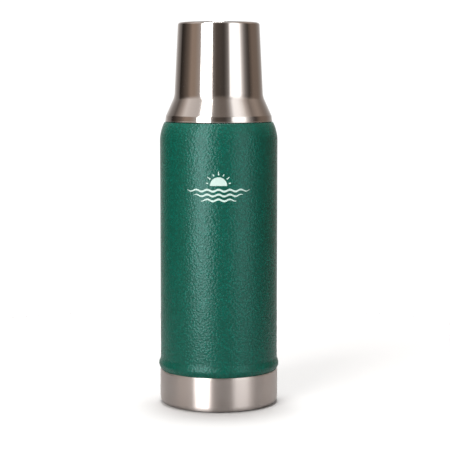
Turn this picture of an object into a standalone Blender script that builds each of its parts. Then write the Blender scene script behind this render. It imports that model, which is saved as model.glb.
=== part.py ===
"""Vacuum flask with a screw-on drinking cup and a push-button pour stopper.

Free-standing, +Z up, origin at the middle of the underside. Lengths are in millimetres until `MM` turns
them into metres. Every turned piece is a profile at +X, written as (radius, height) or
(radius, height, corner radius), that runs down its outer side.
"""

import math

import bmesh
import bpy
from mathutils import Matrix, Vector

MM = 0.001
SEGMENTS = 32  # round pieces, one step every 11.25 degrees
SMALL_SEGMENTS = 16  # pins, pills and the button
GAP = 0.3  # between pieces that touch

# Driving dimensions of the flask
HEIGHT = 293.0
BODY_R = 45.1
SHELL_WALL = 0.8
LEDGE_Z = 217.3  # flat top of the green shell, under the cup
LEDGE_R = 41.3
SHOULDER_R = 28.0  # radius of the shoulder's curve
SHOULDER_Z = 204.0  # where the straight wall ends
BEAD_R = 47.0  # the corner that the bead's curve is drawn in
BEAD_Z = 30.4
NECK_R = 28.2
NECK_TOP_Z = 229.0
LINER_R = 41.6
LINER_WALL = 0.6
LINER_FLOOR_Z = 18.0
BASE_R = 45.5
BASE_WALL = 0.7
BASE_LOW_Z = 0.2  # the rubber pad stands this much proud of the steel
BASE_TOP_Z = 26.6
SKIRT_R = BASE_R - BASE_WALL - 0.4  # the part of the shell inside the base cup
PAD_R = 36.8

# Driving dimensions of the cup
CUP_WALL = 0.6
CUP_RIM_Z = LEDGE_Z + GAP
CUP_TOP_R = 31.2
WAIST_R = 34.0  # where the taper turns into the flare
WAIST_Z = 236.9
FLARE_R = 40.6
FLARE_Z = 222.2
LIP_R = 41.2

# Driving dimensions of the collar and the stopper
COLLAR_R = 31.0
COLLAR_BORE = 27.3
COLLAR_TOP_Z = 246.0
THREAD_LEAD = 12.0  # both screw threads climb this much in a turn
CUP_STARTS = 3
STOPPER_STARTS = 2
PLUG_R = 25.8
PLUG_LOW_Z = 205.0
PLUG_FLOOR_Z = PLUG_LOW_Z + 2.0
PORT_R = 8.0  # hole in the plug's floor that the valve closes
FLANGE_Z = COLLAR_TOP_Z + GAP
FLANGE_T = 3.0
COVER_TOP_Z = 262.0
TUBE_R = 11.6  # tube that the drink rises through
TUBE_BORE = 9.8
TUBE_TOP_Z = 247.0
GUIDE_Z = 233.0  # disc across that tube
GUIDE_TOP_Z = 235.5
GUIDE_R = TUBE_BORE - 0.5

# Driving dimensions of the button
BUTTON_TOP_Z = 263.0
BUTTON_R = 10.8
BUTTON_BORE = 9.4
BUTTON_CEILING_Z = 259.0  # inside of the button's top, where the spring pushes
BUTTON_TRAVEL = 4.0
STEM_R = 2.5
STEM_LOW_Z = 200.4


# ---------------------------------------------------------------- helpers


def clear_scene():
    for thing in list(bpy.data.objects):
        bpy.data.objects.remove(thing, do_unlink=True)


def new_collection(name):
    group = bpy.data.collections.new(name)
    bpy.context.scene.collection.children.link(group)
    return group


def material(name, colour, roughness, metallic=0.0):
    made = bpy.data.materials.new(name)
    made.use_nodes = True
    shader = made.node_tree.nodes["Principled BSDF"]
    shader.inputs["Base Color"].default_value = (*colour, 1.0)
    shader.inputs["Roughness"].default_value = roughness
    shader.inputs["Metallic"].default_value = metallic
    return made


def arc(centre_r, centre_z, radius, start, end, steps):
    """Points of an arc from one angle to another, in degrees above the +r direction."""
    angles = [math.radians(start + (end - start) * i / steps) for i in range(steps + 1)]
    return [(centre_r + radius * math.cos(a), centre_z + radius * math.sin(a)) for a in angles]


def rounded(corners, steps=2):
    """An outline whose corners that name a third number are rounded to that radius."""
    points = []
    for i, corner in enumerate(corners):
        here = Vector(corner[:2])
        if len(corner) == 2:
            points.append(tuple(here))
            continue
        back = (Vector(corners[i - 1][:2]) - here).normalized()
        on = (Vector(corners[(i + 1) % len(corners)][:2]) - here).normalized()
        half = back.angle(on) / 2
        first = here + back * corner[2] / math.tan(half)
        middle = here + (back + on).normalized() * corner[2] / math.sin(half)
        spoke = first - middle
        turn = math.copysign(math.pi - 2 * half, on.cross(back))
        for k in range(steps + 1):
            points.append(tuple(middle + Matrix.Rotation(turn * k / steps, 2) @ spoke))
    return points


def add(name, mesh, finish, group, parent=None):
    thing = bpy.data.objects.new(name, mesh)
    group.objects.link(thing)
    if finish:
        thing.data.materials.append(finish)
    if parent:
        thing.parent = parent
        thing.matrix_parent_inverse = Matrix.Translation(parent.location).inverted()
    return thing


def screw(thing, segments):
    turn = thing.modifiers.new("Turn", "SCREW")
    turn.axis = "Z"
    turn.angle = math.tau
    turn.steps = segments
    turn.render_steps = segments
    turn.use_merge_vertices = True
    turn.merge_threshold = 0.00001
    turn.use_smooth_shade = True


def turned(name, points, finish, parent=None, closed=True, at=(0.0, 0.0), segments=SEGMENTS):
    """A turned solid: a closed loop gives a ring, and an open one runs from the axis back to the axis."""
    mesh = bpy.data.meshes.new(name)
    count = len(points)
    edges = [(i, (i + 1) % count) for i in range(count if closed else count - 1)]
    mesh.from_pydata([(r * MM, 0.0, z * MM) for r, z in points], edges, [])
    thing = add(name, mesh, finish, PARTS, parent)
    thing.location = (at[0] * MM, at[1] * MM, 0.0)
    screw(thing, segments)
    return thing


def shell(name, points, wall, finish, parent=None):
    """A turned sheet with its thickness on the inner side."""
    thing = turned(name, points, finish, parent, closed=False)
    thick = thing.modifiers.new("Wall", "SOLIDIFY")
    thick.thickness = wall * MM
    thick.offset = -1.0
    thick.use_even_offset = True
    return thing


def ring(name, inner, outer, low, high, finish, parent=None, corner=0.0, segments=SEGMENTS):
    """A plain ring of rectangular section, with its corners cut off if asked for."""
    corners = [(outer, high), (outer, low), (inner, low), (inner, high)]
    if corner:
        corners = rounded([(r, z, corner) for r, z in corners], steps=1)
    return turned(name, corners, finish, parent, segments=segments)


def disc(name, radius, low, high, finish, parent=None, corner=0.3, segments=SMALL_SEGMENTS, at=(0.0, 0.0)):
    points = rounded([(0.0, high), (radius, high, corner), (radius, low, corner), (0.0, low)], steps=1)
    return turned(name, points, finish, parent, closed=False, segments=segments, at=at)


def cutter(thing):
    thing.hide_render = True
    thing.display_type = "WIRE"
    return thing


def combine(thing, other, operation):
    step = thing.modifiers.new(other.name, "BOOLEAN")
    step.operation = operation
    step.solver = "EXACT"
    step.object = other


def thread(name, root, tip, start_z, start_angle, span, starts):
    """Helical ridges from inside the wall at `root` to `tip`, one for each start of the thread."""
    buried = 0.5 if tip > root else -0.5
    base_half, tip_half = 1.3, 0.4
    section = [(root - buried, -base_half), (tip, -tip_half), (tip, tip_half), (root - buried, base_half)]
    step = 360.0 / SEGMENTS
    steps = round(span / step)
    ridges = bmesh.new()
    for k in range(starts):
        # Half a step on, so that no edge of a ridge meets an edge of the wall
        angle = math.radians(start_angle + step / 2 + 360.0 * k / starts)
        corners = [
            ridges.verts.new((r * math.cos(angle) * MM, r * math.sin(angle) * MM, (start_z + h) * MM))
            for r, h in section
        ]
        face = ridges.faces.new(corners)
        bmesh.ops.spin(
            ridges,
            geom=[face, *face.edges, *face.verts],
            cent=(0.0, 0.0, 0.0),
            axis=(0.0, 0.0, 1.0),
            dvec=(0.0, 0.0, THREAD_LEAD / SEGMENTS * MM),
            angle=math.radians(steps * step),
            steps=steps,
        )
    bmesh.ops.recalc_face_normals(ridges, faces=ridges.faces)
    mesh = bpy.data.meshes.new(name)
    ridges.to_mesh(mesh)
    ridges.free()
    return cutter(add(name, mesh, None, CUTTERS))


def upright_bars(name, count, radius, at_radius, low, high):
    """A ring of upright round bars, to cut finger grooves or a ring of holes."""
    bars = bmesh.new()
    for k in range(count):
        angle = math.tau * k / count
        place = Matrix.Translation(
            (at_radius * math.cos(angle) * MM, at_radius * math.sin(angle) * MM, (low + high) / 2 * MM)
        )
        bmesh.ops.create_cone(
            bars,
            cap_ends=True,
            segments=12,
            radius1=radius * MM,
            radius2=radius * MM,
            depth=(high - low) * MM,
            matrix=place,
        )
    mesh = bpy.data.meshes.new(name)
    bars.to_mesh(mesh)
    bars.free()
    return cutter(add(name, mesh, None, CUTTERS))


# ---------------------------------------------------------------- flask body


def outer_shell():
    """The painted outer wall: neck, flat ledge, shoulder, straight side, bead and skirt in the base cup."""
    shoulder_top = math.degrees(math.asin((LEDGE_Z - GAP - SHOULDER_Z) / SHOULDER_R))
    points = [(NECK_R, NECK_TOP_Z), (NECK_R, LEDGE_Z), (LEDGE_R, LEDGE_Z)]
    points += arc(BODY_R - SHOULDER_R, SHOULDER_Z, SHOULDER_R, shoulder_top, 0.0, 5)
    bead = [(BODY_R, SHOULDER_Z), (BODY_R, BEAD_Z + 4.5), (BEAD_R, BEAD_Z, 4.0), (BODY_R, BASE_TOP_Z + 0.9)]
    skirt = [(SKIRT_R, BASE_TOP_Z + GAP), (SKIRT_R, 12.0)]
    points += rounded(bead + skirt)[1:]
    shell("outer_shell", points, SHELL_WALL, GREEN)


def inner_liner():
    """The steel bottle that holds the drink, with its mouth turned out over the neck."""
    bore = NECK_R - SHELL_WALL - 2 * GAP
    mouth_z = NECK_TOP_Z + GAP
    neck_low_z = 214.0
    corners = [(NECK_R, mouth_z), (bore, mouth_z), (bore, neck_low_z), (35.0, 209.0), (LINER_R, 200.0, 10.0)]
    corners += [(LINER_R, LINER_FLOOR_Z, 8.0), (0.0, LINER_FLOOR_Z)]
    shell("inner_liner", rounded(corners), LINER_WALL, STEEL)


def outer_bottom():
    """The plate that closes the vacuum space, with a raised middle around the pumping hole."""
    edge = SKIRT_R - SHELL_WALL - 0.4
    flat_z = 11.2
    raised_z = 12.6
    corners = [(edge, 16.0), (edge, flat_z, 1.5), (9.0, flat_z), (6.0, raised_z), (1.0, raised_z)]
    shell("outer_bottom", rounded(corners, steps=1), 0.8, STEEL)
    disc("vacuum_seal", 4.0, flat_z - 0.6, raised_z - GAP, SOLDER, corner=0.5)


def vacuum_fittings():
    """The foil around the liner and the getter pill in its clip, all inside the vacuum space."""
    ring("radiation_foil", LINER_R + 0.6, LINER_R + 0.9, 30.0, 190.0, FOIL)
    beside = (22.0, 0.0)
    clip_r = 6.4
    clip_z = 12.3
    wall = 0.4
    clip = [(0.0, clip_z + wall), (clip_r - wall, clip_z + wall), (clip_r - wall, clip_z + 1.9)]
    clip += [(clip_r, clip_z + 1.9), (clip_r, clip_z), (0.0, clip_z)]
    turned("getter_clip", clip, STEEL, segments=SMALL_SEGMENTS, closed=False, at=beside)
    disc("getter", clip_r - 1.0, clip_z + wall + GAP, clip_z + 3.3, GETTER, at=beside)


def base():
    """The bare steel base cup, recessed underneath for a rubber pad."""
    inner_r = BASE_R - BASE_WALL
    floor_z = BASE_LOW_Z + BASE_WALL
    recess_r = PAD_R + 0.4
    recess_z = 2.2
    corner = 4.4
    step_r = recess_r + BASE_WALL
    inside = [(0.0, recess_z + BASE_WALL), (step_r, recess_z + BASE_WALL), (step_r, floor_z)]
    inside += [(inner_r, floor_z, corner - BASE_WALL), (inner_r, BASE_TOP_Z)]
    outside = [(BASE_R, BASE_TOP_Z, 0.3), (BASE_R, BASE_LOW_Z, corner), (recess_r, BASE_LOW_Z)]
    outside += [(recess_r, recess_z), (0.0, recess_z)]
    turned("base_cup", rounded(inside + outside), STEEL, closed=False)
    disc("base_pad", PAD_R, 0.0, recess_z - GAP, RUBBER, corner=0.4, segments=SEGMENTS)


def collar():
    """The plastic collar on the neck: the cup screws onto it and the stopper screws into it."""
    low_z = LEDGE_Z + 0.5
    sleeve_r = NECK_R + GAP
    step_z = NECK_TOP_Z + 2.7
    corners = [(COLLAR_R, COLLAR_TOP_Z, 0.6), (COLLAR_R, low_z), (sleeve_r, low_z)]
    corners += [(sleeve_r, step_z), (COLLAR_BORE, step_z), (COLLAR_BORE, COLLAR_TOP_Z, 0.6)]
    made = turned("neck_collar", rounded(corners, steps=1), DARK_PLASTIC)
    outside = thread("collar_outer_thread", COLLAR_R, COLLAR_R + 1.2, 222.0, 0.0, 225.0, CUP_STARTS)
    ridge_r = COLLAR_BORE - 1.05
    inside = thread("collar_inner_thread", COLLAR_BORE, ridge_r, 233.25, 67.5, 270.0, STOPPER_STARTS)
    combine(made, outside, "UNION")
    combine(made, inside, "UNION")
    ring("neck_seal_ring", 26.5, NECK_R, NECK_TOP_Z + 1.2, step_z - GAP, SILICONE, corner=0.3)


# ---------------------------------------------------------------- stopper


def plug(parent):
    """The hollow threaded plug with its gasket and the foam inside it."""
    top_z = FLANGE_Z + FLANGE_T
    bore = 22.8
    groove_r = 23.4
    low_r = PLUG_R - 0.3
    thread_low_z = 231.5
    gasket_low_z = 209.1
    gasket_top_z = 213.9
    corners = [(30.0, top_z), (30.0, FLANGE_Z), (PLUG_R, FLANGE_Z), (PLUG_R, thread_low_z)]
    corners += [(low_r, thread_low_z - 0.5), (low_r, gasket_top_z + GAP), (groove_r, gasket_top_z + GAP)]
    corners += [(groove_r, gasket_low_z - GAP), (low_r, gasket_low_z - GAP), (low_r, PLUG_LOW_Z, 1.0)]
    corners += [(PORT_R, PLUG_LOW_Z), (PORT_R, PLUG_FLOOR_Z), (bore, PLUG_FLOOR_Z), (bore, top_z)]
    body = turned("stopper_body", rounded(corners, steps=1), DARK_PLASTIC, parent)
    ridges = thread("stopper_thread", PLUG_R, PLUG_R + 1.15, 234.0, 0.0, 270.0, STOPPER_STARTS)
    combine(body, ridges, "UNION")
    ring("stopper_gasket", groove_r + GAP, PLUG_R + 0.1, gasket_low_z, gasket_top_z, SILICONE, parent)
    ring("stopper_insulation", TUBE_R + 0.4, bore - 0.4, PLUG_FLOOR_Z + 0.5, 236.0, FOAM, parent)


def cover(parent):
    """The fluted grip ring on the plug's flange, with a sleeve that the button slides in."""
    low_z = FLANGE_Z + FLANGE_T + GAP
    pocket_z = COVER_TOP_Z - 3.5
    sleeve_z = low_z + 1.5
    sleeve_r = 12.8
    sleeve_bore = BUTTON_R + 0.4
    pocket_r = 23.5
    corners = [(28.6, COVER_TOP_Z, 2.0), (29.2, low_z), (pocket_r, low_z), (pocket_r, pocket_z)]
    corners += [(sleeve_r, pocket_z), (sleeve_r, sleeve_z), (sleeve_bore, sleeve_z)]
    corners += [(sleeve_bore, COVER_TOP_Z, 0.8)]
    made = turned("stopper_cover", rounded(corners, steps=1), DARK_PLASTIC, parent)
    grooves = upright_bars("grip_flutes", 12, 2.6, 30.6, low_z + 1.5, COVER_TOP_Z + 3.0)
    combine(made, grooves, "DIFFERENCE")


def pour_channel(parent):
    """The tube that the drink flows through, and the spider that guides the valve's stem inside it."""
    bore = STEM_R + 0.4
    small = {"parent": parent, "segments": SMALL_SEGMENTS}
    ring("flow_tube", TUBE_BORE, TUBE_R, PLUG_FLOOR_Z + GAP, TUBE_TOP_Z, PALE_PLASTIC, **small)
    guide = ring("stem_guide", bore, GUIDE_R, GUIDE_Z, GUIDE_TOP_Z, PALE_PLASTIC, **small)
    ports = upright_bars("guide_ports", 4, 1.5, 6.0, GUIDE_Z - 1.0, GUIDE_TOP_Z + 1.0)
    combine(guide, ports, "DIFFERENCE")
    ring("stem_seal", bore, 4.2, GUIDE_TOP_Z + 0.4, GUIDE_TOP_Z + 1.6, SILICONE, **small)


def button_spring(parent):
    """A compression spring between the stem's guide and the inside of the button."""
    wire = 0.5
    coil = BUTTON_BORE - wire - 0.6
    low = GUIDE_TOP_Z + GAP + wire
    high = BUTTON_CEILING_Z - GAP - wire
    turns = 6
    per_turn = 12
    count = turns * per_turn
    curve = bpy.data.curves.new("button_spring", "CURVE")
    curve.dimensions = "3D"
    curve.bevel_depth = wire * MM
    curve.bevel_resolution = 1
    curve.use_fill_caps = True
    line = curve.splines.new("POLY")
    line.points.add(count)
    for i, point in enumerate(line.points):
        angle = math.tau * i / per_turn
        height = low + (high - low) * i / count
        point.co = (coil * math.cos(angle) * MM, coil * math.sin(angle) * MM, height * MM, 1.0)
    add("button_spring", curve, SPRING_STEEL, PARTS, parent)


def button(parent):
    """The button with its stem, and the valve disc and seal that it pushes off the port."""
    skirt_z = TUBE_TOP_Z + BUTTON_TRAVEL + 0.5
    socket_r = 4.2
    socket_z = 252.5
    socket_bore = STEM_R + GAP
    stem_top_z = 258.0
    corners = [(0.0, BUTTON_TOP_Z), (BUTTON_R, BUTTON_TOP_Z, 1.2), (BUTTON_R, skirt_z)]
    corners += [(BUTTON_BORE, skirt_z), (BUTTON_BORE, BUTTON_CEILING_Z), (socket_r, BUTTON_CEILING_Z)]
    corners += [(socket_r, socket_z), (socket_bore, socket_z), (socket_bore, stem_top_z + GAP)]
    corners += [(0.0, stem_top_z + GAP)]
    turned("push_button", rounded(corners, steps=1), DARK_PLASTIC, parent, closed=False)
    disc("valve_stem", STEM_R, STEM_LOW_Z, stem_top_z, PALE_PLASTIC, parent)
    small = {"parent": parent, "segments": SMALL_SEGMENTS}
    disc_top_z = STEM_LOW_Z + 2.4
    ring("valve_disc", socket_bore, 12.0, STEM_LOW_Z, disc_top_z, PALE_PLASTIC, **small)
    ring("valve_seal", 6.5, 11.6, disc_top_z + GAP, PLUG_LOW_Z - GAP, SILICONE, **small)


# ---------------------------------------------------------------- cup


def cup(parent):
    """The steel cup that covers the stopper, with a plastic lining and a threaded ring in its flare."""
    corners = [(0.0, HEIGHT), (CUP_TOP_R, HEIGHT, 2.0), (WAIST_R, WAIST_Z, 13.0), (FLARE_R, FLARE_Z, 1.0)]
    corners += [(LIP_R, CUP_RIM_Z + 0.9), (LIP_R, CUP_RIM_Z + 0.4), (LIP_R - 0.3, CUP_RIM_Z)]
    shell("cup_shell", rounded(corners, steps=3), CUP_WALL, STEEL, parent)
    lining_top = HEIGHT - CUP_WALL - 0.8
    lining = [(0.0, lining_top), (30.0, lining_top, 3.0), (32.45, 242.0), (32.7, 234.4)]
    shell("cup_liner", rounded(lining), 1.0, PALE_PLASTIC, parent)


def cup_thread(parent):
    """The ring in the cup's flare that screws onto the collar, and the gasket under it."""
    bore = COLLAR_R + 1.6
    sleeve_r = bore + 1.5
    sleeve_z = 233.9
    flange_r = 39.6
    flange_z = CUP_RIM_Z + 1.7
    flange_top = flange_z + 2.0
    corners = [(sleeve_r, sleeve_z), (sleeve_r, flange_top), (flange_r, flange_top, 0.4)]
    corners += [(flange_r, flange_z, 0.4), (bore, flange_z), (bore, sleeve_z)]
    made = turned("cup_thread_ring", rounded(corners, steps=1), DARK_PLASTIC, parent)
    ridges = thread("cup_thread", bore, bore - 1.2, 221.5, 45.0, 225.0, CUP_STARTS)
    combine(made, ridges, "UNION")
    ring("cup_gasket", sleeve_r + 0.1, 36.4, CUP_RIM_Z + 0.15, flange_z - GAP, SILICONE, parent)


# ---------------------------------------------------------------- assembly


def joint_axis(name, height):
    """An empty on the flask's axis, the parent of the pieces that move together there."""
    empty = bpy.data.objects.new(name, None)
    empty.location = (0.0, 0.0, height * MM)
    PARTS.objects.link(empty)
    return empty


clear_scene()
PARTS = new_collection("vacuum_flask")
CUTTERS = new_collection("cutters")

GREEN = material("green_powder_coat", (0.0, 0.13, 0.09), 0.45)
STEEL = material("brushed_steel", (0.60, 0.55, 0.52), 0.22, 1.0)
SPRING_STEEL = material("spring_steel", (0.62, 0.62, 0.64), 0.3, 1.0)
FOIL = material("radiation_foil", (0.85, 0.52, 0.38), 0.25, 1.0)
SOLDER = material("solder", (0.45, 0.45, 0.47), 0.4, 1.0)
GETTER = material("getter_metal", (0.20, 0.20, 0.21), 0.6, 1.0)
DARK_PLASTIC = material("dark_plastic", (0.02, 0.02, 0.022), 0.4)
PALE_PLASTIC = material("pale_plastic", (0.72, 0.72, 0.70), 0.45)
SILICONE = material("silicone", (0.62, 0.63, 0.62), 0.6)
FOAM = material("foam", (0.85, 0.82, 0.72), 0.9)
RUBBER = material("base_rubber", (0.03, 0.03, 0.03), 0.75)

outer_shell()
inner_liner()
outer_bottom()
vacuum_fittings()
base()
collar()

stopper_axis = joint_axis("stopper_axis", COLLAR_TOP_Z)
plug(stopper_axis)
cover(stopper_axis)
pour_channel(stopper_axis)
button_spring(stopper_axis)
button(joint_axis("button_axis", BUTTON_TOP_Z))

cup_axis = joint_axis("cup_axis", CUP_RIM_Z)
cup(cup_axis)
cup_thread(cup_axis)
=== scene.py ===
# %% [markdown]
# # A vacuum flask, dressed for the studio
#
# The packed model fixes every size, place and joint of the flask. This lesson gives it its looks: finely
# turned pieces over the plain solids, and a finish for each of them. The studio comes first, then the tools
# for turning, the finishes, the flask, the stopper and the cup.

import math

import bmesh
import bpy
from mathutils import Matrix, Vector


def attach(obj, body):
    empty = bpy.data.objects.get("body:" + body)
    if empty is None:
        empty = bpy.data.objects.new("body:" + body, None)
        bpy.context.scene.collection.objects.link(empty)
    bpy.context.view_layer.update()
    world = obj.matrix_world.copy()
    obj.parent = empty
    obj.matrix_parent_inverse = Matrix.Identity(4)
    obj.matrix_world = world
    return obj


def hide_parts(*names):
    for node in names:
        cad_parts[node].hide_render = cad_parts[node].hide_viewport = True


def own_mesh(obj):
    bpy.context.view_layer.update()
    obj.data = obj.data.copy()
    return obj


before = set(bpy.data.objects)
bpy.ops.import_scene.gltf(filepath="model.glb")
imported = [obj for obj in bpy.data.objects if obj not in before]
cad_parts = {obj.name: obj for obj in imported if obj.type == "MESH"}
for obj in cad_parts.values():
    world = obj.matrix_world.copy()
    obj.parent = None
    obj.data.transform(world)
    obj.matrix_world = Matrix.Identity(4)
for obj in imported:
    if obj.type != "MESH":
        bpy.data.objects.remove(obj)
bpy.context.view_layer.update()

# %% [markdown]
# The sizes below come from the packed model. The pieces are turned, so a radius and two heights say most of
# what there is to know about each of them. The numbers are kept in millimetres, which read better for a
# flask than metres do, and `MM` brings them back when a mesh is made. `GAP` is the room that touching
# pieces leave.

# %% Measure the frame
MM = 0.001
GAP = 0.3


class Size:
    """A turned node's outer and inner radius, and its lowest and highest point, in millimetres."""

    def __init__(self, node):
        points = [v.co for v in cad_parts[node].data.vertices]
        radii = [math.hypot(p.x, p.y) / MM for p in points]
        heights = [p.z / MM for p in points]
        self.outer, self.inner = round(max(radii), 2), round(min(radii), 2)
        self.low, self.high = round(min(heights), 2), round(max(heights), 2)


shell, base, liner = Size("outer_shell"), Size("base_cup"), Size("inner_liner")
cup, collar = Size("cup_shell"), Size("neck_collar")
plug, cover, button = Size("stopper_body"), Size("stopper_cover"), Size("push_button")
print("shell", vars(shell), "base", vars(base), "cup", vars(cup), sep="\n")

# %% [markdown]
# ## The studio
#
# Polished steel has hardly any look of its own: it shows the room. A product photographer therefore builds
# the room for the metal, with a tall soft light on each side, dark cards between them and a bright wall
# behind. The same room is painted here as the world's light, by compass direction, in two bands: one for
# what stands near the horizon and one for what is higher up, which the cup's flare sees. A round soft lamp
# overhead closes the room. It lights the sheet and the coat, but steel mirrors it only faintly, or its
# image would eat the cup's top edge.

# %% Surroundings by direction
# Degrees round from the front, positive to the right, with the brightness there and how warm it is
NEAR_HORIZON = [
    (-180, 1.3, 0.0), (-158, 0.7, 0.2), (-140, 0.34, 0.4), (-127, 0.2, 0.5), (-120, 0.03, 1.0),
    (-108, 0.06, 1.0), (-90, 0.17, 1.1), (-77, 0.38, 1.2), (-66, 0.37, 1.2), (-54, 0.42, 0.7),
    (-49, 0.5, 0.3), (-46, 7.0, 0.0), (-19, 7.0, 0.1), (-17, 0.26, 0.6), (-6, 0.1, 1.0),
    (14, 0.065, 0.8), (19, 0.13, 0.6), (27, 0.32, 0.4), (32, 2.1, 0.0), (58, 2.1, 0.0),
    (65, 0.85, 0.3), (73, 0.32, 0.4), (81, 0.13, 0.6), (88, 0.07, 0.9), (103, 0.22, 1.2),
    (125, 0.23, 1.1), (140, 0.31, 0.6), (156, 0.5, 0.3), (180, 1.3, 0.0),
]
HIGHER_UP = [
    (-180, 0.4, 0.2), (-150, 0.45, 0.3), (-130, 0.4, 0.5), (-118, 0.4, 0.7), (-103, 0.6, 0.7),
    (-90, 0.95, 0.4), (-78, 0.8, 0.4), (-53, 0.66, 0.4), (-48, 1.0, 0.2), (-44, 8.0, 0.0),
    (-23, 8.0, 0.2), (-18, 0.4, 0.4), (-6, 0.24, 0.7), (6, 0.19, 0.9), (20, 0.2, 0.8),
    (28, 0.38, 0.5), (35, 0.8, 0.2), (41, 1.5, 0.1), (55, 1.5, 0.1), (66, 1.2, 0.3),
    (76, 0.62, 0.6), (88, 0.27, 0.9), (108, 0.5, 0.9), (137, 0.5, 0.6), (155, 0.45, 0.3), (180, 0.4, 0.2),
]
CEILING = 0.3
BACKDROP = 1.1  # what the camera sees past the sheet
BAND_CHANGE = (16, 34)  # degrees above the horizon between which the first band turns into the second
CEILING_CHANGE = (56, 64)
LAMP = 74.0  # high above and a little behind
LAMP_TILT, LAMP_EDGE, LAMP_CORE = 6, 10, 6  # degrees
LAMP_HELD_BACK = 0.94  # the share of the lamp that mirror reflections lose
GREEN_LOSS, BLUE_LOSS = 0.20, 0.33  # what a warmth of 1 takes out of a grey


def warm(level, warmth):
    """A grey of this brightness that leans towards brown."""
    return (level, level * (1 - GREEN_LOSS * warmth), level * (1 - BLUE_LOSS * warmth), 1.0)


print("directions", len(NEAR_HORIZON), len(HIGHER_UP))

# %% [markdown]
# Every material and the world are networks of nodes, and a network is easier to read as a formula. `Value`
# wraps a socket, so that `1 - mask * 0.3` adds the Math nodes by itself, and `Network.node` makes any other
# node from its type, its settings and what goes into its sockets.


# %% Values that can be added and multiplied
class Value:
    """An output socket that grows Math nodes when it is used in a sum."""

    def __init__(self, network, socket):
        self.network, self.socket = network, socket

    def sum(self, operation, *numbers):
        return self.network.node("ShaderNodeMath", {"operation": operation}, dict(enumerate(numbers)))

    def __add__(self, other):
        return self.sum("ADD", self, other)

    def __rsub__(self, other):
        return self.sum("SUBTRACT", other, self)

    def __mul__(self, other):
        return self.sum("MULTIPLY", self, other)

    def __truediv__(self, other):
        return self.sum("DIVIDE", self, other)

    __radd__, __rmul__ = __add__, __mul__

    def between(self, low, high):
        """0 below low, 1 above high, and a smooth step between."""
        settings = {"interpolation_type": "SMOOTHSTEP"}
        return self.network.node("ShaderNodeMapRange", settings, {0: self, 1: low, 2: high})


print("a Value can use", [name for name in vars(Value) if name.startswith("__r")])


# %% Colours and ramps
def set_stops(elements, stops):
    """Gives a colour ramp these (position, colour) stops. It starts with two."""
    for position, _ in stops[2:]:
        elements.new(position)
    for element, (position, colour) in zip(elements, stops):
        element.position, element.color = position, colour


def grey(level):
    return (level, level, level, 1.0)


print("middle grey", grey(0.5))

# %% [markdown]
# `Network` holds the tree itself. It makes a node, sets its settings before its sockets, and links or fills
# each socket by what it is given.


# %% Networks of nodes
class Network:
    """The node tree of a material or of the world."""

    def __init__(self, owner):
        owner.use_nodes = True
        self.tree = owner.node_tree

    def node(self, kind, settings=None, inputs=None, output=0):
        made = self.tree.nodes.new(kind)
        for key, value in (settings or {}).items():
            if key == "stops":
                set_stops(made.color_ramp.elements, value)
            else:
                setattr(made, key, value)
        for key, value in (inputs or {}).items():
            self.feed(made.inputs[key], value)
        return Value(self, made.outputs[output])

    def feed(self, socket, value):
        if isinstance(value, Value):
            self.tree.links.new(value.socket, socket)
        else:
            socket.default_value = value

    def mix(self, amount, first, second):
        """A colour that goes from the first to the second as amount goes from 0 to 1."""
        return self.node("ShaderNodeMix", {"data_type": "RGBA"}, {0: amount, 6: first, 7: second}, 2)

    def axes(self, where):
        """The x, y and z of a vector."""
        return [self.node("ShaderNodeSeparateXYZ", None, {0: where}, axis) for axis in "XYZ"]


print("a Network can", [name for name in vars(Network) if not name.startswith("__")])

# %% [markdown]
# Now the room. The direction of a ray gives its place in the two ramps, its height says which of them
# counts, and the camera itself sees only a plain white wall.


# %% Paint the surroundings
def studio_world():
    world = bpy.data.worlds.new("studio")
    bpy.context.scene.world = world
    net = Network(world)
    way = net.node("ShaderNodeTexCoord", output="Generated")
    x, y, z = net.axes(way)
    turn_share = x.sum("ARCTAN2", x, y * -1) / math.tau + 0.5
    near, higher = [
        net.node(
            "ShaderNodeValToRGB",
            {"stops": [(angle / 360 + 0.5, warm(level, warmth)) for angle, level, warmth in band]},
            {0: turn_share},
        )
        for band in (NEAR_HORIZON, HIGHER_UP)
    ]

    def climbed(low, high):
        return z.between(math.sin(math.radians(low)), math.sin(math.radians(high)))

    sides = net.mix(climbed(*BAND_CHANGE), near, higher)
    room = net.mix(climbed(*CEILING_CHANGE), sides, grey(CEILING))
    up = (0.0, math.sin(math.radians(LAMP_TILT)), math.cos(math.radians(LAMP_TILT)))
    facing = net.node("ShaderNodeVectorMath", {"operation": "DOT_PRODUCT"}, {0: way, 1: up}, "Value")
    edge, core = math.cos(math.radians(LAMP_EDGE)), math.cos(math.radians(LAMP_CORE))
    mirrored = net.node("ShaderNodeLightPath", output="Is Glossy Ray")
    lamp = facing.between(edge, core) * (1 - mirrored * LAMP_HELD_BACK)
    room = net.mix(lamp, room, grey(LAMP))
    seen = net.node("ShaderNodeLightPath", output="Is Camera Ray")
    light = net.tree.nodes["Background"].inputs["Color"]
    net.feed(light, net.mix(seen, room, grey(BACKDROP)))
    return len(net.tree.nodes)


print("world", studio_world(), "nodes")

# %% [markdown]
# The floor is a plain round sheet, just clear of the pad's face. Under the round lamp the flask's shadow
# gathers where the base meets the sheet and fades out within a few centimetres. The steel base mirrors the
# sheet in front of it, so the sheet is darker in mirror reflections, and the side lights still show in the
# base as bright bars.

# %% Floor
SHEET_RADIUS, BELOW_PAD = 0.45, 0.00005  # metres
SHEET, SHEET_MIRRORED = 0.46, 0.24  # the share of the light that it throws back


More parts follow.
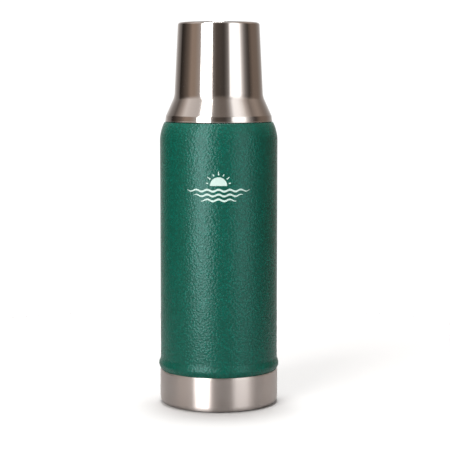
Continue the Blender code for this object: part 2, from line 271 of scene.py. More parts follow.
def white_floor():
    sheet = bmesh.new()
    place = Matrix.Translation((0, 0, -BELOW_PAD))
    bmesh.ops.create_circle(sheet, cap_ends=True, segments=96, radius=SHEET_RADIUS, matrix=place)
    mesh = bpy.data.meshes.new("floor")
    sheet.to_mesh(mesh)
    sheet.free()
    floor = bpy.data.objects.new("floor", mesh)
    bpy.context.scene.collection.objects.link(floor)
    white = bpy.data.materials.new("white_sheet")
    net = Network(white)
    shader = net.tree.nodes["Principled BSDF"]
    mirrored = net.node("ShaderNodeLightPath", output="Is Glossy Ray")
    net.feed(shader.inputs["Base Color"], net.mix(mirrored, grey(SHEET), grey(SHEET_MIRRORED)))
    shader.inputs["Roughness"].default_value = 0.8
    shader.inputs["Specular IOR Level"].default_value = 0.1
    mesh.materials.append(white)
    print(floor.name, tuple(round(d, 1) for d in floor.dimensions))


white_floor()

# %% [markdown]
# The camera stands a little over a metre away at the height of the cup, with a long lens that keeps the
# sides of the flask almost parallel. It looks slightly down, so the round seams bow downwards. The plain
# Standard view keeps the white of the sheet white.

# %% Camera
LENS, SENSOR = 119.2, 36.0  # millimetres
CAMERA_PLACE = (0.0048, -1.1447, 0.2563)
LOOKS_DOWN = 5.91  # degrees


def add_camera():
    data = bpy.data.cameras.new("camera")
    data.lens, data.sensor_width = LENS, SENSOR
    camera = bpy.data.objects.new("camera", data)
    camera.location = CAMERA_PLACE
    camera.rotation_euler = (math.radians(90 - LOOKS_DOWN), 0.0, 0.0)
    bpy.context.scene.collection.objects.link(camera)
    bpy.context.scene.camera = camera
    bpy.context.scene.view_settings.view_transform = "Standard"
    print("camera at", tuple(camera.location))


add_camera()

# %% [markdown]
# ## Turning
#
# Nearly every piece of a flask is round, so most of it is made as on a lathe. A few corners of the section
# are joined by edges, spun once round the axis, and the rings that should be rounded are bevelled. A corner
# is written as (radius, height) or (radius, height, how far the bevel cuts back along each side).

# %% From a bmesh to an object
FINE_ROUND, ROUND, BUTTON_ROUND, ROD_ROUND = 160, 128, 96, 64  # steps in a full turn, by size
SHARP, SHARP_WHERE_CUT = 38, 28  # degrees; an edge that turns further stays sharp


def finish_mesh(name, work):
    """Turns a finished bmesh into an object, smooth but for its sharp edges."""
    mesh = bpy.data.meshes.new(name)
    work.to_mesh(mesh)
    work.free()
    mesh.shade_smooth()
    mesh.set_sharp_from_angle(angle=math.radians(SHARP))
    piece = bpy.data.objects.new(name, mesh)
    bpy.context.scene.collection.objects.link(piece)
    return piece


print("steps in a turn, from large to small", FINE_ROUND, ROUND, BUTTON_ROUND, ROD_ROUND)

# %% [markdown]
# A pressed or moulded edge is never quite sharp, and it is the thin light on a rounded edge that makes a
# piece look solid. The edges that one corner of the section leaves behind form a ring, which is found by
# its radius and height and bevelled in one go.

# %% Rounded rings
FOUND_WITHIN = 0.004  # millimetres


def bevel_ring(work, radius, height, amount, segments):
    """Rounds the ring of edges that runs round the axis at this corner."""

    def on_ring(v):
        off = abs(math.hypot(v.co.x, v.co.y) / MM - radius)
        return off < FOUND_WITHIN and abs(v.co.z / MM - height) < FOUND_WITHIN

    edges = [e for e in work.edges if on_ring(e.verts[0]) and on_ring(e.verts[1])]
    bmesh.ops.bevel(
        work,
        geom=edges,
        offset=amount * MM,
        affect="EDGES",
        segments=segments,
        profile=0.5,
        material=-1,
        clamp_overlap=False,
    )


print("rings are found within", FOUND_WITHIN, "mm")

# %% [markdown]
# The spin itself closes the full turn, the points on the axis are welded, and the faces are made to look
# outwards before the rings are rounded.

# %% The lathe
WELD = 0.000002  # metres


def turn(corners, steps=ROUND, segments=4):
    """Spins a section: a closed loop, or a line that runs from the axis to the axis."""
    work = bmesh.new()
    verts = [work.verts.new((c[0] * MM, 0.0, c[1] * MM)) for c in corners]
    from_axis = corners[0][0] == 0 and corners[-1][0] == 0
    pairs = list(zip(verts, verts[1:])) + ([] if from_axis else [(verts[-1], verts[0])])
    edges = [work.edges.new(pair) for pair in pairs]
    bmesh.ops.spin(
        work, geom=verts + edges, cent=(0, 0, 0), axis=(0, 0, 1), angle=math.tau, steps=steps, use_merge=True
    )
    bmesh.ops.remove_doubles(work, verts=work.verts, dist=WELD)
    bmesh.ops.recalc_face_normals(work, faces=work.faces)
    for c in corners:
        if len(c) == 3:
            bevel_ring(work, *c, segments)
    return work


def lathe(name, corners, steps=ROUND, segments=4):
    return finish_mesh(name, turn(corners, steps, segments))


def block(inner, outer, low, high, corner):
    """The section of a plain ring with rounded corners."""
    return [(outer, high, corner), (outer, low, corner), (inner, low, corner), (inner, high, corner)]


print("a plain ring has the corners", block(1, 2, 0, 1, 0.1))

# %% [markdown]
# Every finished piece goes through `put`, which gives it its finish, the body that it moves with, and the
# solids of the packed model that it stands for.


# %% Dress a piece
def put(piece, body, finish, slot, *nodes):
    """Gives a piece its finish and its body, and lets it stand for these nodes."""
    piece.data.materials.clear()
    piece.data.materials.append(finish)
    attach(piece, body)
    if nodes:
        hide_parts(*nodes)
    print(piece.name, "rides on", body, "with", len(piece.data.polygons), "faces")
    return piece


# %% [markdown]
# A screw thread is a second kind of spin: a small section goes round and climbs a little at each step. The
# real ridges fade in and out, so that the cup catches the thread easily. Here the first and the last steps
# of each ridge are squeezed towards the wall. A Boolean union then makes the ridges and the wall one skin.

# %% Screw threads
LEAD = 12.0  # how far one turn lifts the cup or the stopper
ROOT_HALF, CREST_HALF, BURIED = 1.25, 0.42, 0.5  # a ridge's half widths, and how deep it starts in the wall
SUNK = 0.35  # how far below the skin a faded end lies, as a share of the ridge's height


def thread(wall, tip, start, angle, span, starts):
    """Ridges from inside the wall at radius `wall` to radius `tip`, one for each start."""
    root = wall - (BURIED if tip > wall else -BURIED)
    section = [(root, -ROOT_HALF), (tip, -CREST_HALF), (tip, CREST_HALF), (root, ROOT_HALF)]
    count = round(ROUND * span / 360)
    fade = count // 8
    ridges = bmesh.new()
    for k in range(starts):
        first = math.radians(angle + 180 / ROUND + 360 * k / starts)
        way = Vector((math.cos(first), math.sin(first), 0))
        places = [(way * r + Vector((0, 0, start + h))) * MM for r, h in section]
        face = ridges.faces.new([ridges.verts.new(place) for place in places])
        bmesh.ops.spin(
            ridges,
            geom=[face, *face.edges, *face.verts],
            cent=(0, 0, 0),
            axis=(0, 0, 1),
            dvec=(0, 0, LEAD / ROUND * MM),
            angle=math.tau * count / ROUND,
            steps=count,
        )
    low, rise = start * MM, LEAD / ROUND * MM
    for v in ridges.verts:
        radius = math.hypot(v.co.x, v.co.y)
        if abs(radius / MM - tip) < 0.01:
            along = (v.co.z - low) / rise
            share = min(along, count - along, fade) / fade
            height = (1 + SUNK) * max(0.0, share) ** 0.5 - SUNK
            squeeze = (wall + (tip - wall) * height) * MM / radius
            v.co.x *= squeeze
            v.co.y *= squeeze
    bmesh.ops.recalc_face_normals(ridges, faces=ridges.faces)
    return finish_mesh("ridges", ridges)


print("threads climb", LEAD, "mm in a turn")


# %% Join or cut
def combine(piece, other, operation):
    """Joins or cuts with another object, and leaves one plain mesh."""
    step = piece.modifiers.new("step", "BOOLEAN")
    step.operation, step.solver, step.object = operation, "EXACT", other
    graph = bpy.context.evaluated_depsgraph_get()
    mesh = bpy.data.meshes.new_from_object(piece.evaluated_get(graph))
    piece.modifiers.clear()
    piece.data = mesh
    bpy.data.objects.remove(other)
    mesh.shade_smooth()
    mesh.set_sharp_from_angle(angle=math.radians(SHARP_WHERE_CUT))
    return piece


print("after a join, edges over", SHARP_WHERE_CUT, "degrees stay sharp")

# %% [markdown]
# ## Finishes
#
# A finish starts from the Principled shader. What is the same all over a piece is set on the shader's
# sockets, and only what changes over the surface is linked: colour, roughness and the bump.


# %% The base of every finish
class Finish(Network):
    """A Principled material that can be given a pattern."""

    def __init__(self, name, colour, roughness, metallic=0.0, **constants):
        self.material = bpy.data.materials.new(name)
        super().__init__(self.material)
        self.shader = self.tree.nodes["Principled BSDF"]
        self.where = self.node("ShaderNodeTexCoord", output="Object")
        sockets = {"Base Color": (*colour, 1.0), "Roughness": roughness, "Metallic": metallic}
        sockets.update({key.replace("_", " "): value for key, value in constants.items()})
        for key, value in sockets.items():
            self.shader.inputs[key].default_value = value

    def drive(self, socket, value):
        self.feed(self.shader.inputs[socket], value)

    def colours(self, amount, first, second):
        """Colours the surface from the first to the second as amount goes from 0 to 1."""
        self.drive("Base Color", self.mix(amount, (*first, 1.0), (*second, 1.0)))

    def bump(self, height, depth):
        """Relief this deep, in millimetres, where height is 1."""
        self.drive("Normal", self.node("ShaderNodeBump", None, {"Height": height, "Distance": depth * MM}))

    def noise(self, size, detail=2.0, where=None):
        """Soft noise with patches about this many millimetres across."""
        inputs = {"Vector": where or self.where, "Scale": 1 / (size * MM), "Detail": detail}
        return self.node("ShaderNodeTexNoise", None, inputs)

    def cells(self, size, smoothness=0.4):
        """Rounded cells about this many millimetres across, 0 at the middle of each."""
        inputs = {"Vector": self.where, "Scale": 1 / (size * MM), "Smoothness": smoothness}
        return self.node("ShaderNodeTexVoronoi", {"feature": "SMOOTH_F1"}, inputs)


print("a Finish can", [name for name in vars(Finish) if not name.startswith("__")])

# %% [markdown]
# The body's powder coat is sprayed as dry paint and baked, and it is chosen to flow into a leathery relief
# of small pebbles. Rounded cells give the pebbles, a slower noise swells and sinks them so that no two
# patches are alike, and the hollows are duller than the crests. The hollows are also painted a little
# darker than the crests, as painted shade.

# %% Powder coat
PEBBLES, FINE_GRAIN, SWELLING = 1.7, 0.95, 9.0  # millimetres across
COAT_RELIEF = 0.27  # millimetres deep
# painted shade: the hollow green is darker than the crest green, so the pebble hollows look shaded
SHADED_HOLLOW_GREEN, MEAN_GREEN, LIT_CREST_GREEN = (0.0002, 0.052, 0.034), (0.001, 0.075, 0.055), (0.0008, 0.087, 0.061)
GLOSS_TINT = (0.65, 1.0, 1.0, 1.0)  # the gloss takes a little red away, as a clear coat over green does


def powder_coat():
    made = Finish("green_powder_coat", MEAN_GREEN, 0.3, Specular_IOR_Level=0.4, Specular_Tint=GLOSS_TINT)
    pebbles = 1 - made.cells(PEBBLES)
    relief = pebbles * 0.8 + made.noise(FINE_GRAIN) * 0.55 + made.noise(SWELLING) * 0.3
    crests = relief.between(0.7, 1.2)
    made.bump(relief, COAT_RELIEF)
    # painted shade: the colour darkens from the crests down into the hollows
    made.colours(crests, SHADED_HOLLOW_GREEN, LIT_CREST_GREEN)
    made.drive("Roughness", 0.34 - crests * 0.12)
    return made.material


GREEN = powder_coat()
print(GREEN.name)

# %% [markdown]
# The cup is polished on a lathe: the belt leaves hair-fine lines round the piece, which smear every
# reflection up and down but leave it sharp from side to side. That is what the anisotropy does, and faint
# rings in the roughness and the bump break it up. The base is brushed more coarsely, so its reflections run
# further.

# %% Bare steel
LINES, LINE_DEPTH = 0.12, 0.0006  # millimetres
LINE_STRETCH = 0.01  # the pattern hardly changes round the piece, which draws the noise out into rings
PATCHES = 9.0  # millimetres; how broad the faint differences in tone are


def turned_steel(name, roughness, colour, anisotropic):
    made = Finish(name, colour, roughness, 1.0, Anisotropic=anisotropic, Anisotropic_Rotation=0.25)
    x, y, z = made.axes(made.where)
    inputs = {0: x * LINE_STRETCH, 1: y * LINE_STRETCH, 2: z}
    rings = made.noise(LINES, 3.0, made.node("ShaderNodeCombineXYZ", None, inputs))
    patches = made.noise(PATCHES)
    made.drive("Roughness", roughness * 0.85 + rings * roughness * 0.25 + patches * roughness * 0.08)
    made.bump(rings, LINE_DEPTH)
    made.colours(patches, tuple(c * 0.98 for c in colour), colour)
    return made.material


POLISHED = turned_steel("polished_steel", 0.13, (0.64, 0.60, 0.575), 0.8)
BRUSHED = turned_steel("brushed_steel", 0.38, (0.767, 0.696, 0.66), 1.0)
INSIDE_STEEL = turned_steel("satin_steel", 0.3, (0.6, 0.6, 0.6), 0.4)
print(POLISHED.name, BRUSHED.name, INSIDE_STEEL.name)

# %% [markdown]
# The mouldings are plain: polypropylene with the fine spark-eroded grain of its mould, silicone with a soft
# dull skin, foam with open cells, and a matt rubber foot. Each has its own colour drift, gloss drift and
# relief.

# %% Mouldings
DRIFT = 18.0  # millimetres; how broad the slow changes of colour and gloss are


def moulding(name, dark, light, roughness, grain, depth, **constants):
    """A moulded material whose colour, gloss and relief follow a grain this many millimetres across."""
    made = Finish(name, light, roughness, **constants)
    fine = made.noise(grain, 3.0)
    broad = made.noise(DRIFT)
    made.colours(fine * 0.5 + broad * 0.5, dark, light)
    made.drive("Roughness", roughness - 0.06 + fine * 0.08 + broad * 0.06)
    made.bump(fine, depth)
    return made.material


DARK = moulding("dark_plastic", (0.014, 0.0145, 0.016), (0.024, 0.0245, 0.027), 0.42, 0.35, 0.02)
PALE = moulding(
    "pale_plastic", (0.66, 0.66, 0.64), (0.74, 0.74, 0.72), 0.40, 0.5, 0.008, Subsurface_Weight=0.08
)
SILICONE = moulding(
    "silicone", (0.52, 0.54, 0.53), (0.62, 0.64, 0.63), 0.55, 0.3, 0.01, Subsurface_Weight=0.1
)
FOAM = moulding("foam", (0.74, 0.70, 0.58), (0.88, 0.85, 0.76), 0.9, 0.7, 0.25)
RUBBER = moulding("base_rubber", (0.018, 0.018, 0.018), (0.034, 0.034, 0.033), 0.78, 0.4, 0.03)
PRINT = moulding("pale_print", (0.37, 0.49, 0.45), (0.44, 0.57, 0.53), 0.55, 0.8, 0.03)
print("mouldings", DARK.name, PALE.name, SILICONE.name, FOAM.name, RUBBER.name, PRINT.name)

# %% [markdown]
# The metals inside the flask are never turned, so they need no rings: wrapped foil is creased, solder is
# dull and lumpy, the getter is a sintered pill, and drawn wire is nearly smooth. One mottled noise serves
# them all.


# %% Metals inside
def metal(name, dark, light, roughness, grain, depth):
    """A metal with a mottled tone and a relief of this grain, in millimetres."""
    made = Finish(name, light, roughness, 1.0)
    tone = made.noise(grain, 4.0)
    made.colours(tone, dark, light)
    made.drive("Roughness", roughness - 0.08 + tone * 0.16)
    made.bump(tone, depth)
    return made.material


FOIL = metal("copper_foil", (0.78, 0.42, 0.28), (0.92, 0.58, 0.44), 0.25, 6.0, 0.6)
SOLDER = metal("solder", (0.34, 0.34, 0.36), (0.50, 0.50, 0.52), 0.42, 1.2, 0.1)
GETTER = metal("getter_metal", (0.14, 0.14, 0.15), (0.24, 0.24, 0.25), 0.65, 0.3, 0.05)
SPRING = metal("spring_steel", (0.50, 0.50, 0.52), (0.66, 0.66, 0.68), 0.28, 0.8, 0.004)
print("metals", FOIL.name, SOLDER.name, GETTER.name, SPRING.name)

# %% [markdown]
# ## The flask
#
# The green wall is one sheet: neck, flat ledge, shoulder, straight side, and a bead rolled outwards near
# the foot, below which it is drawn in to fit inside the base. Its section goes down the outside and back up
# the inside.

# %% Green shell
WALL = 0.8
body_r, neck_r = 45.1, 28.2
ledge_r, under_ledge_r = 41.65, 40.9  # the outer edge of the ledge, outside and inside the sheet
ledge_z = cup.low - GAP
skirt_r = base.outer - 0.75
shoulder_z = ledge_z - 6.4  # where the tangents of the shoulder's curve meet
bead_r, bead_z = 47.0, base.high + 3.8  # the bead's crest, before it is rounded
bead_rise = 4.5  # from the crest up to the straight side


def green_shell():
    outside = [
        (neck_r, shell.high, 0.2), (neck_r, ledge_z, 0.8), (ledge_r, ledge_z, 0.35),
        (body_r, shoulder_z, 6.9), (body_r, bead_z + bead_rise, 1.3), (bead_r, bead_z, 2.13),
        (body_r, base.high + 0.6, 0.3), (skirt_r, base.high + 0.15, 0.15), (skirt_r, shell.low),
    ]
    inside = [
        (skirt_r - WALL, shell.low), (skirt_r - WALL, shoulder_z, 6.0), (under_ledge_r, ledge_z - WALL, 0.4),
        (neck_r - WALL, ledge_z - WALL, 0.4), (neck_r - WALL, shell.high, 0.2),
    ]
    return lathe("body_shell", outside + inside, steps=FINE_ROUND, segments=8)


put(green_shell(), "root", GREEN, "green_powder_coat", "outer_shell")

# %% [markdown]
# The base is a steel cup pressed over the foot. Its upper edge leans in a little, which catches a little
# light from above, and its lower edge is well rounded. The floor is recessed to hold the foot's pad.


# %% Base cup
def steel_base():
    wall, recess = 0.7, 2.2
    lean, leans_from = 0.3, base.high - 1.2
    well_r = Size("base_pad").outer + 0.4
    floor_z = base.low + wall
    section = [
        (0, recess + wall), (well_r + wall, recess + wall, 0.3), (well_r + wall, floor_z, 0.3),
        (base.outer - wall, floor_z, 3.7), (base.outer - wall, base.high, 0.15),
        (base.outer - lean, base.high, 0.15), (base.outer, leans_from, 0.4), (base.outer, base.low, 4.4),
        (well_r, base.low, 0.3), (well_r, recess, 0.2), (0, recess),
    ]
    return lathe("steel_base", section, steps=FINE_ROUND, segments=8)


put(steel_base(), "root", BRUSHED, "polished_steel", "base_cup")

# %% [markdown]
# The pad is a ribbed rubber disc, which is what the flask stands on. Ribs like these are turned too: the
# section goes up and down once for each of them.


# %% Rubber pad
def rubber_pad():
    pad = Size("base_pad")
    rim, ribs, pitch = 3.0, 7, 4.0
    groove, slope, depth = 1.5, 0.3, 0.7
    section = [(0, pad.high), (pad.outer, pad.high, 0.3), (pad.outer, 0.0, 0.4)]
    for k in range(ribs):
        edge = pad.outer - rim - k * pitch
        section += [(edge, 0.0, 0.2), (edge - slope, depth, 0.2)]
        section += [(edge - groove, depth, 0.2), (edge - groove - slope, 0.0, 0.2)]
    return lathe("rubber_pad", section + [(0, 0.0)], segments=2)


put(rubber_pad(), "root", RUBBER, "base_rubber", "base_pad")

# %% [markdown]
# Inside stands the bottle that holds the drink. It is drawn from thinner steel, its bottom is rounded so
# that it can be cleaned, and its mouth is rolled out over the neck of the shell.


# %% Inner bottle
def inner_bottle():
    wall, inset = 0.6, 0.3
    bore, mouth = neck_r - 1.4, liner.high - wall
    throat_z, hip_z, side_z, hip_r = 214.0, 209.0, 200.0, 35.0
    outside = [
        (neck_r, mouth, 0.15), (bore, mouth, 0.5), (bore, throat_z, 3.0), (hip_r, hip_z, 2.0),
        (liner.outer, side_z, 5.2), (liner.outer, liner.low, 8.0), (0, liner.low),
    ]
    inside = [
        (0, liner.low + wall), (liner.outer - wall, liner.low + wall, 7.4),
        (liner.outer - wall, side_z - inset, 5.0), (hip_r - inset, hip_z - 0.5, 2.0),
        (bore - wall, throat_z - inset, 3.0), (bore - wall, liner.high, 1.0), (neck_r, liner.high, 0.25),
    ]
    return lathe("inner_bottle", (outside + inside)[::-1], segments=6)


put(inner_bottle(), "root", INSIDE_STEEL, "inner_steel", "inner_liner")

# %% [markdown]
# A moulded collar sits on the steel neck. Its outer thread has three starts for the cup, and its inner
# thread has two for the stopper, so that each catches within part of a turn. A silicone ring seals it on
# the steel mouth.


# %% Collar and its seal
def neck_collar():
    outer, bore = 31.0, 27.3
    low_z, sleeve_r, step_z = collar.low, neck_r + GAP, shell.high + 2.7
    section = [
        (outer, collar.high, 0.6), (outer, low_z, 0.5), (sleeve_r, low_z, 0.3), (sleeve_r, step_z, 0.3),
        (bore, step_z, 0.3), (bore, collar.high, 0.6),
    ]
    made = lathe("neck_collar_fine", section)
    combine(made, thread(outer, outer + 1.2, start=222.0, angle=0.0, span=225.0, starts=3), "UNION")
    return combine(made, thread(bore, bore - 1.05, start=233.25, angle=67.5, span=270.0, starts=2), "UNION")


put(neck_collar(), "root", DARK, "dark_plastic", "neck_collar")
seal = Size("neck_seal_ring")
seal_ring = lathe("mouth_seal", block(seal.inner, seal.outer, seal.low, seal.high, 0.35))
put(seal_ring, "root", SILICONE, "silicone", "neck_seal_ring")

# %% [markdown]
# What stays sealed in the vacuum keeps its plain solid, and only gets its finish: the bottom plate, the
# foil that sends radiant heat back, the getter that keeps the vacuum good, and the solder that closes it.

# %% Hidden pieces keep their solids
HIDDEN = {
    INSIDE_STEEL: ["outer_bottom", "getter_clip"],
    SOLDER: ["vacuum_seal"],
    FOIL: ["radiation_foil"],
    GETTER: ["getter"],
    FOAM: ["stopper_insulation"],
    PALE: ["flow_tube", "stem_guide"],
    SILICONE: ["stem_seal"],
}
for finish, nodes in HIDDEN.items():
    for node in nodes:
        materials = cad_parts[node].data.materials
        materials.clear()
        materials.append(finish)
    print(finish.name, nodes)

# %% [markdown]
# ## The printed mark
#
# A small pale mark is screen-printed on the front: half a sun with short rays over three waves. It is drawn
# flat, given the thickness of a coat of ink, cut into narrow strips so that it can bend, and wrapped round
# the body.

# %% Flat ink
INK = 0.06  # millimetres


def flat_shape(work, points):
    """A flat shape of ink in the x-z plane, drawn through these (x, z) points in millimetres."""
    face = work.faces.new([work.verts.new((x * MM, -INK * MM, z * MM)) for x, z in points])
    made = bmesh.ops.extrude_face_region(work, geom=[face])
    back = [v for v in made["geom"] if isinstance(v, bmesh.types.BMVert)]
    bmesh.ops.translate(work, verts=back, vec=(0, 2 * INK * MM, 0))


print("ink", INK, "mm proud of the coat")


# %% Sun and waves
def half_sun(work, centre_z, radius, rays=7):
    arc = [math.pi * k / 32 for k in range(33)]
    flat_shape(work, [(radius * math.cos(a), centre_z + radius * math.sin(a)) for a in arc])
    near, short, long = radius + 1.5, radius + 3.2, radius + 4.2
    foot_half, tip_half = 0.55, 0.2
    for k in range(rays):
        a = math.pi * (k + 0.5) / rays
        out, side = Vector((math.cos(a), math.sin(a))), Vector((-math.sin(a), math.cos(a)))
        start, end = out * near, out * (long if k % 2 else short)
        foot, tip = side * foot_half, side * tip_half
        corners = [start - foot, end - tip, end + tip, start + foot]
        flat_shape(work, [(c.x, c.y + centre_z) for c in corners])


def wave(work, middle_z, half, thickness=1.3, length=8.5, swing=0.7):
    """A wavy bar that thins out towards its ends."""
    steps, thinnest = 60, 0.08
    places = [half * (2 * k / steps - 1) for k in range(steps + 1)]

    def edge(x, sign):
        swell = thickness / 2 * (1 - (x / half) ** 4) + thinnest
        return (x, middle_z + swing * math.cos(math.tau * x / length) + sign * swell)

    flat_shape(work, [edge(x, 1) for x in places] + [edge(x, -1) for x in reversed(places)])


SUN_HEIGHT, SUN_RADIUS = 171.5, 6.4
WAVES = [(168.0, 24.5), (164.4, 19.0), (160.8, 13.5)]  # the height of each, and half its length
print("sun", SUN_HEIGHT, SUN_RADIUS, "waves", WAVES)


# %% Wrap the mark
def printed_mark():
    work = bmesh.new()
    half_sun(work, SUN_HEIGHT, SUN_RADIUS)
    for middle_z, half in WAVES:
        wave(work, middle_z, half)
    for cut in range(-24, 25):  # one every millimetre
        everything = [*work.verts, *work.edges, *work.faces]
        bmesh.ops.bisect_plane(work, geom=everything, dist=0, plane_co=(cut * MM, 0, 0), plane_no=(1, 0, 0))
    bmesh.ops.recalc_face_normals(work, faces=work.faces)
    for v in work.verts:
        angle, radius = v.co.x / MM / body_r, body_r * MM - v.co.y
        v.co.x, v.co.y = radius * math.sin(angle), -radius * math.cos(angle)
    return finish_mesh("printed_mark", work)


put(printed_mark(), "root", PRINT, "green_powder_coat")

# %% [markdown]
# ## The stopper
#
# Under the cup sits a pour stopper. Its plug screws into the collar, a fluted cover gives the fingers a
# grip, and a button in the middle pushes a valve open at the bottom. The flutes are cut with round bars
# whose ends are domed, as a ball-nosed cutter would leave them.


# %% Plug
def plug_body():
    flange, thread_r, low_r, groove, bore, port = 30.0, 25.8, 25.5, 23.4, 22.8, 8.0
    gasket, floor_z, flange_z, step_z = Size("stopper_gasket"), plug.low + 2.0, plug.high - 3.0, 231.5
    section = [
        (flange, plug.high, 0.4), (flange, flange_z, 0.4), (thread_r, flange_z, 0.3), (thread_r, step_z, 0.2),
        (low_r, step_z - 0.5, 0.2), (low_r, gasket.high + GAP, 0.3), (groove, gasket.high + GAP, 0.3),
        (groove, gasket.low - GAP, 0.3), (low_r, gasket.low - GAP, 0.3), (low_r, plug.low, 1.2),
        (port, plug.low, 0.5), (port, floor_z, 0.3), (bore, floor_z, 0.8), (bore, plug.high, 0.3),
    ]
    made = lathe("plug_fine", section)
    ridges = thread(thread_r, thread_r + 1.15, start=234.0, angle=0.0, span=270.0, starts=2)
    return combine(made, ridges, "UNION")


put(plug_body(), "stopper", DARK, "dark_plastic", "stopper_body")


# %% Grip cover
def grip_cover():
    low_z, top, under_top = cover.low, cover.high, cover.high - 3.5
    skirt, well, hole = 23.5, 12.8, 11.2  # the inside of the skirt, and the two sides of the button's guide
    section = [
        (28.6, top, 2.2), (29.2, low_z, 0.4), (skirt, low_z, 0.3), (skirt, under_top, 0.4),
        (well, under_top, 0.4), (well, low_z + 1.5, 0.3), (hole, low_z + 1.5, 0.3), (hole, top, 0.8),
    ]
    made = lathe("grip_cover", section, segments=6)
    bars = bmesh.new()
    flutes, bar_r, cutter, bar_z, bar_length = 12, 30.6, 2.6, low_z + 4.1, 14
    for k in range(flutes):
        angle = math.tau * k / flutes
        foot = Vector((bar_r * math.cos(angle), bar_r * math.sin(angle), bar_z)) * MM
        ball = bmesh.ops.create_uvsphere(
            bars, u_segments=32, v_segments=17, radius=cutter * MM, matrix=Matrix.Translation(foot)
        )
        upper = [v for v in ball["verts"] if v.co.z > bar_z * MM]
        bmesh.ops.translate(bars, verts=upper, vec=(0, 0, bar_length * MM))
    return combine(made, finish_mesh("bars", bars), "DIFFERENCE")


put(grip_cover(), "stopper", DARK, "dark_plastic", "stopper_cover")

# %% [markdown]
# The silicone rings are what makes the flask tight. The plug's ring has two lips, which press on the
# bottle's throat as the stopper goes down. The cup's ring is plain. Both climb with their screw but need
# not turn with it.


# %% Gaskets
def lipped_gasket(name, node):
    """A ring whose outer side stands out in two soft lips."""
    ring = Size(node)
    inner, outer, low, high = ring.inner, ring.outer, ring.low, ring.high
    third = (high - low) / 3
    edge, valley = outer - 0.7, outer - 0.8
    section = [
        (inner, low, 0.3), (edge, low, 0.2), (outer, low + third * 0.7, 0.3),
        (valley, low + third * 1.5, 0.3), (outer, high - third * 0.7, 0.3), (edge, high, 0.2),
        (inner, high, 0.3),
    ]
    return lathe(name, section, segments=3)


put(lipped_gasket("plug_gasket", "stopper_gasket"), "stopper_lifter", SILICONE, "silicone", "stopper_gasket")
ring = Size("cup_gasket")
cup_seal = lathe("cup_seal", block(ring.inner, ring.outer, ring.low, ring.high, 0.4))
put(cup_seal, "cup_lifter", SILICONE, "silicone", "cup_gasket")

# %% [markdown]
# The button is dished for the thumb, with a small raised ring in the dish. A sleeve below it takes the
# valve's stem.


# %% Button
def thumb_button():
    top, ceiling, skirt, dish_z = button.high, button.high - 4.0, button.low, button.high - 1.0
    side, bore, sleeve, socket = 10.8, 9.4, 4.2, 2.8
    sleeve_z, socket_z = 252.5, 258.3
    section = [
        (0, dish_z), (2.6, dish_z, 0.3), (3.2, top - 0.6, 0.3), (3.8, dish_z, 0.3), (6.5, top - 0.9, 1.6),
        (9.6, top, 0.5), (side, top, 0.9), (side, skirt, 0.3), (bore, skirt, 0.3), (bore, ceiling, 0.4),
        (sleeve, ceiling, 0.3), (sleeve, sleeve_z, 0.2), (socket, sleeve_z, 0.2), (socket, socket_z, 0.2),
        (0, socket_z),
    ]
    return lathe("thumb_button", section, steps=BUTTON_ROUND)


put(thumb_button(), "button", DARK, "dark_plastic", "push_button")

# %% [markdown]
# A spring pushes the button back up. Its last coils lie flat against its seats, as ground springs do, so
# its pitch grows and shrinks along the wire. It rides with the stopper on a mesh of its own.

# %% Spring
coils = Size("button_spring")


def return_spring():
    wire, turns, per_turn, bunching = 0.5, 7.5, 40, 0.85
    coil, low, high = coils.outer - wire, coils.low + wire, coils.high - wire
    work = bmesh.new()
    count = int(turns * per_turn)
    rings = []
    for i in range(count + 1):
        share = i / count
        rise = share - math.sin(math.tau * share) / math.tau * bunching
        angle = math.tau * turns * share
        at = Vector((coil * math.cos(angle), coil * math.sin(angle), low + (high - low) * rise)) * MM
        across = Matrix.Rotation(angle, 4, "Z") @ Matrix.Rotation(math.pi / 2, 4, "X")
        place = Matrix.Translation(at) @ across
        rings.append(bmesh.ops.create_circle(work, segments=10, radius=wire * MM, matrix=place)["verts"])
    for a, b in zip(rings, rings[1:]):
        edges = [e for v in a + b for e in v.link_edges if e.other_vert(v) in (a if v in a else b)]
        bmesh.ops.bridge_loops(work, edges=list(set(edges)))
    bmesh.ops.contextual_create(work, geom=rings[0])
    bmesh.ops.contextual_create(work, geom=rings[-1])
    bmesh.ops.recalc_face_normals(work, faces=work.faces)
    return finish_mesh("return_spring", work)


spring = put(return_spring(), "stopper", SPRING, "spring_steel", "button_spring")
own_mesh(spring)

# %% [markdown]
# The button's stem runs down through the plug to a disc with a silicone ring. At rest the ring closes the
# port in the plug's floor from below, and a press moves it off its seat.


# %% Valve
def valve_disc():
    disc = Size("valve_disc")
    low, high, outer, inner = disc.low, disc.high, disc.outer, disc.inner
    section = [
        (inner, low, 0.15), (5.0, low, 0.3), (6.0, low + 0.6, 0.3), (outer - 0.4, low + 0.3, 0.5),
        (outer, high, 0.4), (inner, high, 0.15),
    ]
    return lathe("valve_disc_fine", section, steps=BUTTON_ROUND)


stem, seal = Size("valve_stem"), Size("valve_seal")
stem_section = [(0, stem.high), (stem.outer, stem.high, 0.4), (stem.outer, stem.low, 0.4), (0, stem.low)]
put(lathe("valve_rod", stem_section, steps=ROD_ROUND), "button", PALE, "pale_plastic", "valve_stem")
put(valve_disc(), "button", PALE, "pale_plastic", "valve_disc")
seal_section = block(seal.inner, seal.outer, seal.low, seal.high, 0.5)
put(lathe("valve_ring", seal_section, steps=BUTTON_ROUND), "button", SILICONE, "silicone", "valve_seal")

# %% [markdown]
# ## The cup
#
# The drinking cup is spun from steel: a nearly straight taper, a short curve out into the flare, an upright
# band and a rolled lip that hides its cut edge. A plastic lining keeps hot drinks from burning the fingers,
# and a threaded ring in the flare screws it onto the collar.


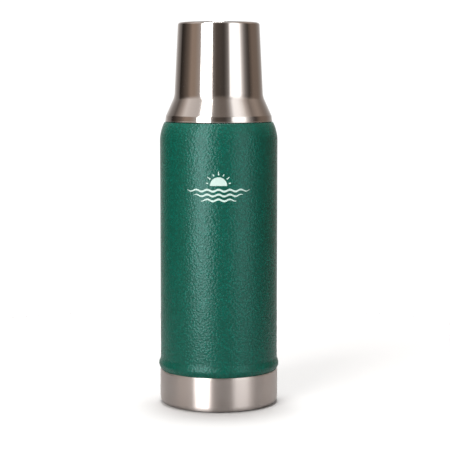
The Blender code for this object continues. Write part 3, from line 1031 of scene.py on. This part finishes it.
# %% Steel cup
def steel_cup():
    wall, top, low = 0.6, cup.high, cup.low
    top_r, waist_r, flare_r, lip_r = 31.2, 34.0, 40.6, cup.outer
    waist_z, flare_z = low + 19.3, low + 4.6
    outside = [
        (0, top), (top_r, top, 2.0), (waist_r, waist_z, 2.4), (flare_r, flare_z, 0.45),
        (lip_r - 0.15, low + 1.1, 0.25), (lip_r, low + 0.8, 0.2), (lip_r, low + 0.3, 0.3),
        (lip_r - 0.35, low, 0.25),
    ]
    inside = [
        (lip_r - 0.9, low, 0.2), (lip_r - 0.9, low + 1.2), (flare_r - wall, flare_z + 0.1, 0.5),
        (waist_r - wall, waist_z + 0.1, 2.4), (top_r - wall, top - wall, 1.4), (0, top - wall),
    ]
    return lathe("steel_cup", outside + inside, steps=FINE_ROUND, segments=8)


put(steel_cup(), "cup", POLISHED, "polished_steel", "cup_shell")

# %% [markdown]
# The lining stands a little clear of the steel and follows its taper. The ring below it has a flange that
# rests in the flare, and three ridges inside that match the collar's.


# %% Cup lining
def cup_lining():
    lining = Size("cup_liner")
    top, low, wall = lining.high, lining.low, 1.0
    top_r, bend_r, bend_z = 30.0, 32.45, 242.0
    outside = [(0, top), (top_r, top, 3.0), (bend_r, bend_z, 0.5), (lining.outer, low, 0.3)]
    inside = [
        (lining.outer - wall, low, 0.3), (bend_r - wall, bend_z, 0.5), (top_r - 0.95, top - wall, 2.2),
        (0, top - wall),
    ]
    return lathe("cup_lining", outside + inside, segments=6)


put(cup_lining(), "cup", PALE, "pale_plastic", "cup_liner")


# %% Threaded ring
def threaded_ring():
    ring = Size("cup_thread_ring")
    bore, sleeve, flange, step_z = 32.6, 34.1, ring.outer, ring.low + 2.0
    section = [
        (sleeve, ring.high, 0.4), (sleeve, step_z, 0.5), (flange, step_z, 0.5), (flange, ring.low, 0.5),
        (bore, ring.low, 0.6), (bore, ring.high, 0.4),
    ]
    made = lathe("threaded_ring", section)
    ridges = thread(bore, bore - 1.2, start=221.5, angle=45.0, span=225.0, starts=3)
    return combine(made, ridges, "UNION")


put(threaded_ring(), "cup", DARK, "dark_plastic", "cup_thread_ring")

# %% [markdown]
